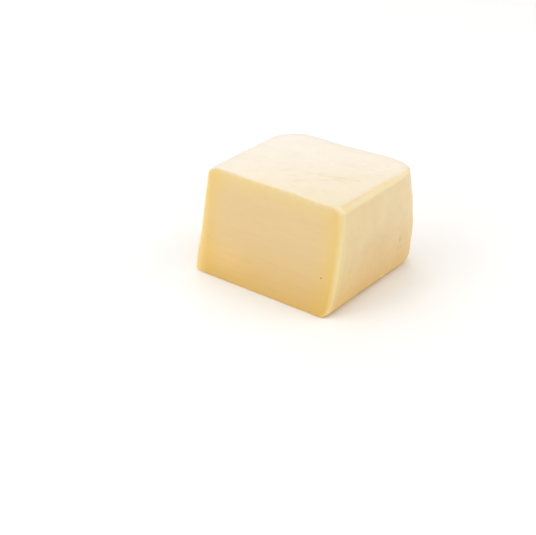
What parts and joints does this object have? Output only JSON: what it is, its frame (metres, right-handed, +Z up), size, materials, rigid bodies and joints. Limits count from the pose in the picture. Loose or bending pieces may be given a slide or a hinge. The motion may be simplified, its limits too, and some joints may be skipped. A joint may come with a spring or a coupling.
{
  "type": "mozzarella block",
  "caption": "Cut block of pale low-moisture mozzarella: a plain leaning knife face, soft moulded edges and a rounded far end, standing on its flat base.",
  "frame": {"origin": "middle of the part's box, on the plane of its flat base", "axes": "+X to the right along the knife-cut face seen from its front, +Y from the cut face to the moulded end, +Z up"},
  "size_m": [0.1458, 0.1426, 0.0955],
  "materials": {
    "cheese": "satin, slightly translucent, cream to pale yellow"
  },
  "bodies": {
    "root": {"cheese_block": "cheese"}
  },
  "joints": []
}
